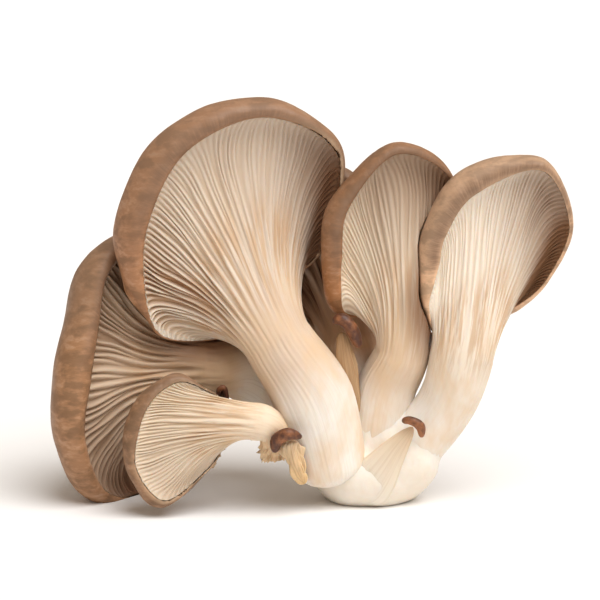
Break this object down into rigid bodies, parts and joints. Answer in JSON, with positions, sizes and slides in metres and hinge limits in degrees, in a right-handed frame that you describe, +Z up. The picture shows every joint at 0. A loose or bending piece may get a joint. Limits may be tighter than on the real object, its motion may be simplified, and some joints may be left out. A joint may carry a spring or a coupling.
{
  "type": "oyster mushroom cluster",
  "caption": "Cluster of oyster mushrooms on one shared butt, pale gilled undersides facing forward under brown caps, with curled pins at the foot.",
  "frame": {"origin": "middle of the cluster's bounding box in plan, on the surface that it lies on", "axes": "+X along the row of caps, from the small and left caps to the right cap; +Y from the gilled side to the backs of the caps; +Z up"},
  "size_m": [0.1464, 0.0605, 0.1155],
  "materials": {
    "flesh": "matte",
    "cap_skin": "satin",
    "pin_flesh": "matte",
    "pin_skin": "satin"
  },
  "bodies": {
    "root": {"butt": "flesh", "stem_and_gills_large": "flesh", "stem_and_gills_right": "flesh", "stem_and_gills_middle": "flesh", "stem_and_gills_small": "flesh", "stem_and_gills_left": "flesh", "stem_and_gills_rear": "flesh", "cap_large": "cap_skin", "cap_right": "cap_skin", "cap_middle": "cap_skin", "cap_small": "cap_skin", "cap_left": "cap_skin", "cap_rear": "cap_skin", "pin_stem_between_stems": "pin_flesh", "pin_stem_on_butt": "pin_flesh", "pin_stem_at_foot": "pin_flesh", "pin_stem_on_left_stem": "pin_flesh", "pin_cap_between_stems": "pin_skin", "pin_cap_on_butt": "pin_skin", "pin_cap_at_foot": "pin_skin", "pin_cap_on_left_stem": "pin_skin"}
  },
  "joints": []
}
